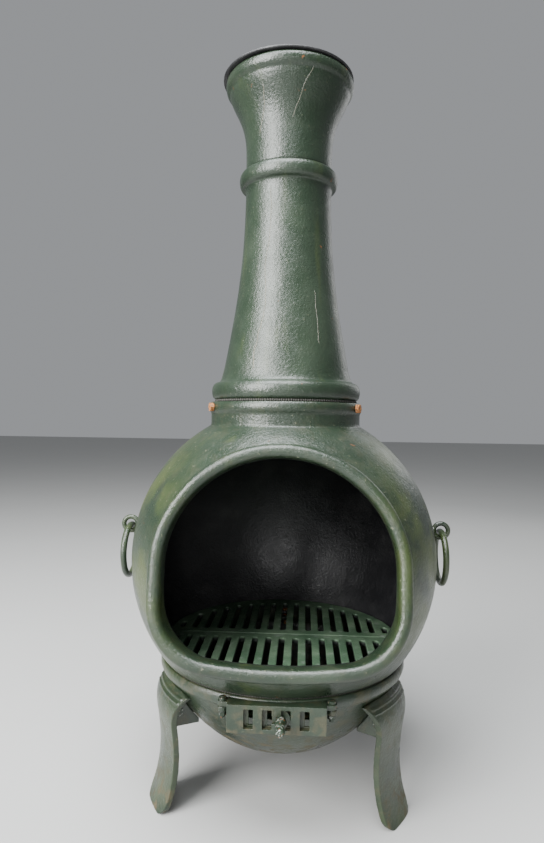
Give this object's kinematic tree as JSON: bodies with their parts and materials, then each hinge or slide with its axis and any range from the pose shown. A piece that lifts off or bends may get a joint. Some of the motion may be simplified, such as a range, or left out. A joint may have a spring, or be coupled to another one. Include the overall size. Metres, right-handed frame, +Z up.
{
  "type": "chiminea",
  "caption": "Cast-iron garden chiminea: round fire pot with an open mouth, flared chimney with a loose lid, slotted grate, air slider, ring handles and curved legs.",
  "frame": {"origin": "on the ground under the chimney axis", "axes": "+Z up along the chimney axis; the mouth and air vent face -Y; +X is the stove's right as seen from the front"},
  "size_m": [0.543, 0.4899, 1.1783],
  "materials": {
    "painted_casting": "weathered heat-resistant paint",
    "grate_casting": "painted, sooty",
    "black_casting": "matt black",
    "rusted_steel": "rusted",
    "worn_steel": "worn",
    "fire_rope": "sooty fire rope"
  },
  "bodies": {
    "stove": {"lower_bowl": "painted_casting", "firebox_body": "painted_casting", "bowl_seal": "fire_rope", "neck_seal": "fire_rope", "crown_seal": "fire_rope", "chimney_stack": "painted_casting", "chimney_crown": "painted_casting", "neck_screws": "rusted_steel", "body_bolts": "rusted_steel", "body_nuts": "rusted_steel", "vent_housing": "painted_casting", "vent_bolts": "worn_steel", "vent_nuts": "worn_steel", "eye_bolt_left": "painted_casting", "eye_bolt_right": "painted_casting", "eye_nuts": "worn_steel", "leg_left": "painted_casting", "leg_right": "painted_casting", "leg_rear": "painted_casting", "leg_bolts": "worn_steel", "leg_nuts": "worn_steel"},
    "air_slider": {"vent_slider": "grate_casting", "slider_knob": "worn_steel", "slider_nut": "worn_steel"},
    "left_ring": {"handle_ring_left": "painted_casting"},
    "right_ring": {"handle_ring_right": "painted_casting"},
    "front_grate": {"grate_front": "grate_casting"},
    "rear_grate": {"grate_rear": "grate_casting"},
    "lid": {"rain_lid": "black_casting", "lid_knob": "black_casting", "lid_nut": "rusted_steel"}
  },
  "joints": [
    {"name": "air_slider_slide", "type": "slide", "parent": "stove", "child": "air_slider", "axis": [1, 0, 0], "range_m": [-0.0062, 0.0062]},
    {"name": "left_ring_swing", "type": "hinge", "parent": "stove", "child": "left_ring", "pos_m": [-0.2563, 0, 0.403], "axis": [0, 1, 0], "range_deg": [-5, 170]},
    {"name": "right_ring_swing", "type": "hinge", "parent": "stove", "child": "right_ring", "pos_m": [0.2563, 0, 0.403], "axis": [0, -1, 0], "range_deg": [-5, 170]},
    {"name": "front_grate_lift", "type": "slide", "parent": "stove", "child": "front_grate", "axis": [0, 0, 1], "range_m": [0, 0.08]},
    {"name": "rear_grate_lift", "type": "slide", "parent": "stove", "child": "rear_grate", "axis": [0, 0, 1], "range_m": [0, 0.08]},
    {"name": "lid_lift", "type": "slide", "parent": "stove", "child": "lid", "axis": [0, 0, 1], "range_m": [0, 0.06]}
  ]
}
